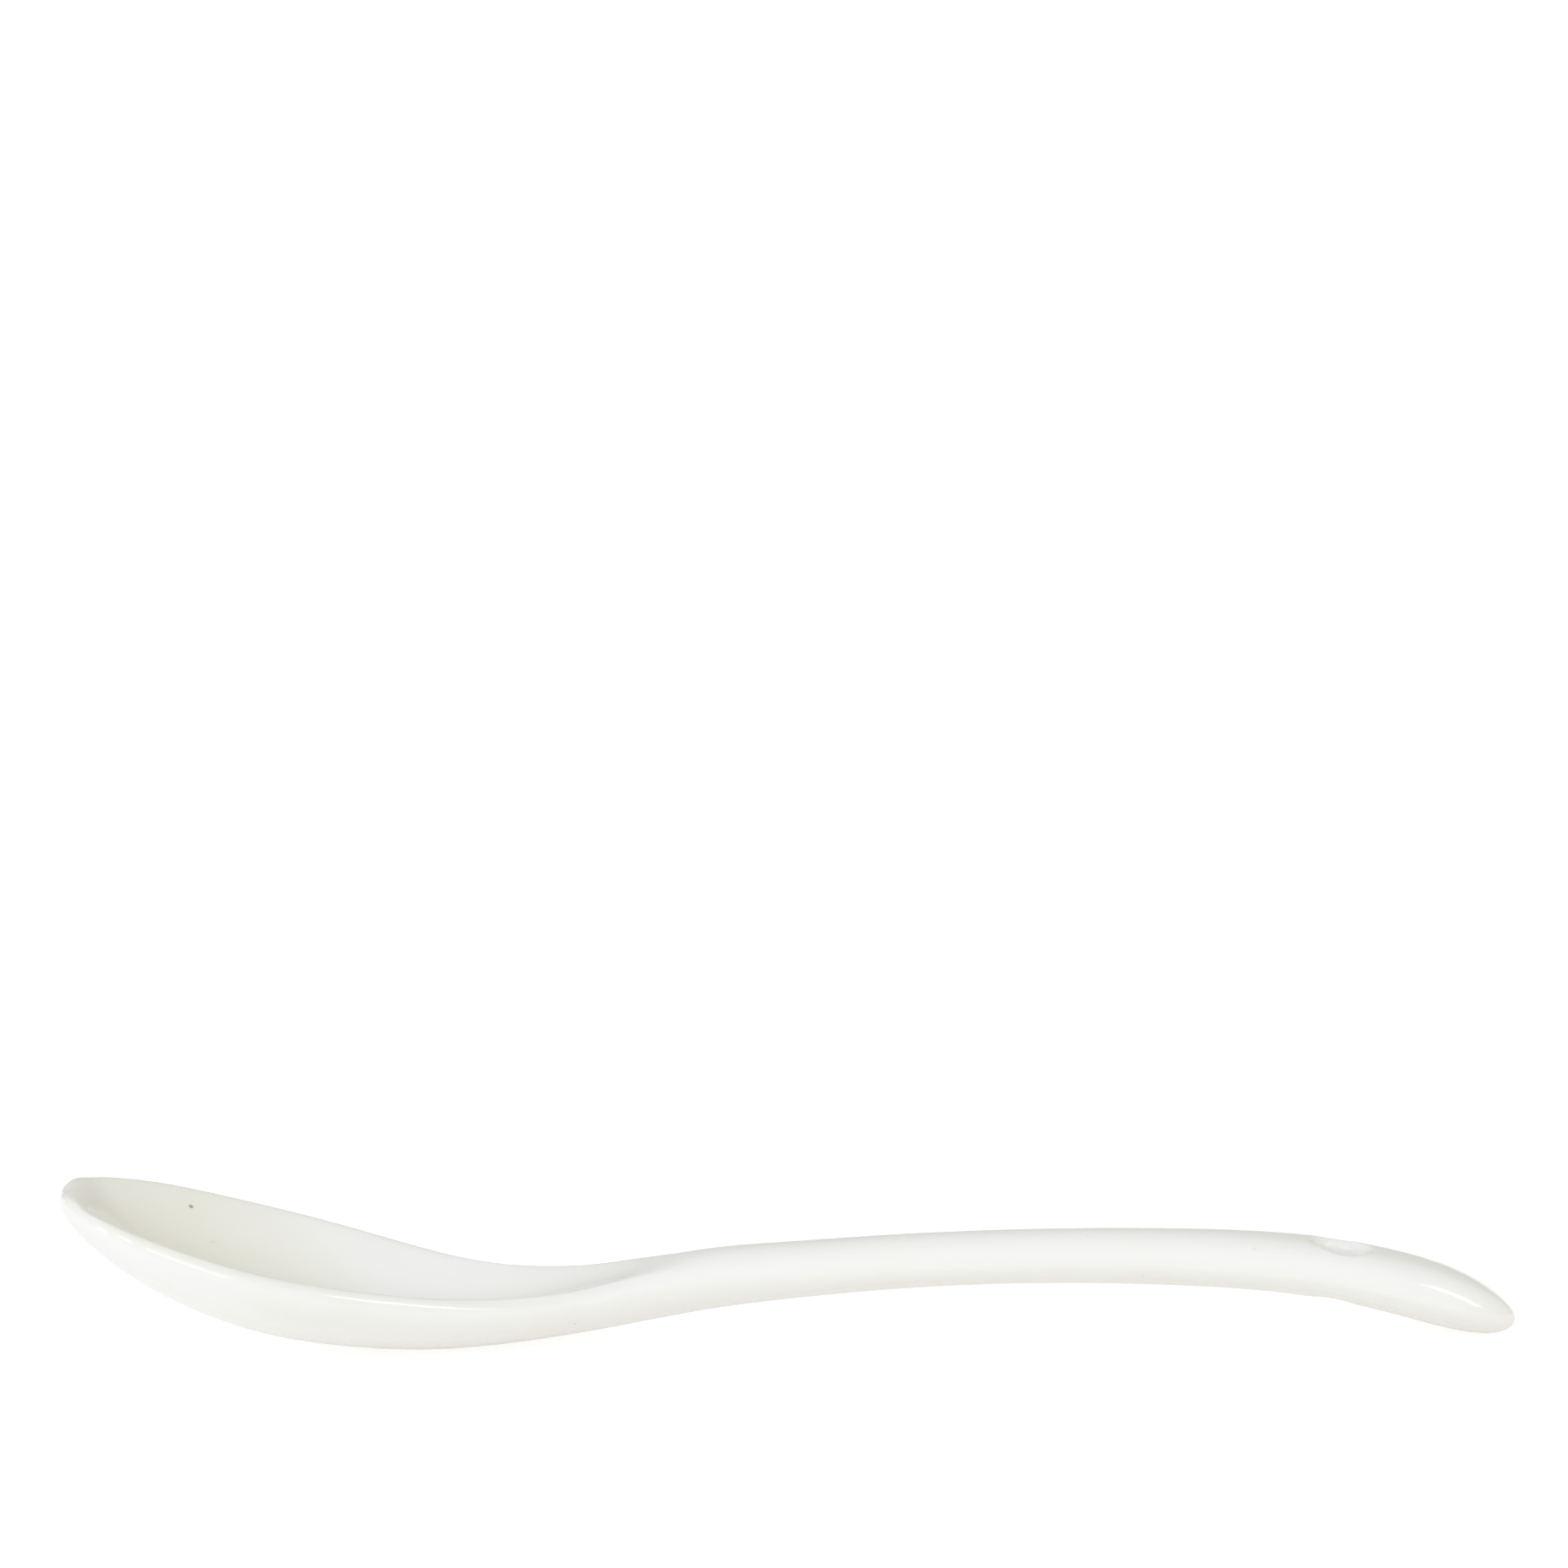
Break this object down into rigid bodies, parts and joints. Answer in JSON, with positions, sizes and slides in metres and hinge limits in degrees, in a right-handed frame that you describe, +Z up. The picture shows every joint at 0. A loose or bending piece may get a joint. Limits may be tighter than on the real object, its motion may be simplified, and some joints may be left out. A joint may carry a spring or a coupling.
{
  "type": "coffee spoon",
  "caption": "One-piece glazed porcelain coffee spoon with a shallow oval bowl, a curved solid handle and a hanging hole near the handle's end.",
  "frame": {"origin": "middle of the spoon's box, on the surface that the spoon rests on", "axes": "+X from the bowl's tip to the handle's end, +Y across, +Z up"},
  "size_m": [0.135, 0.0309, 0.015],
  "materials": {
    "porcelain": "gloss"
  },
  "bodies": {
    "root": {"spoon": "porcelain"}
  },
  "joints": []
}
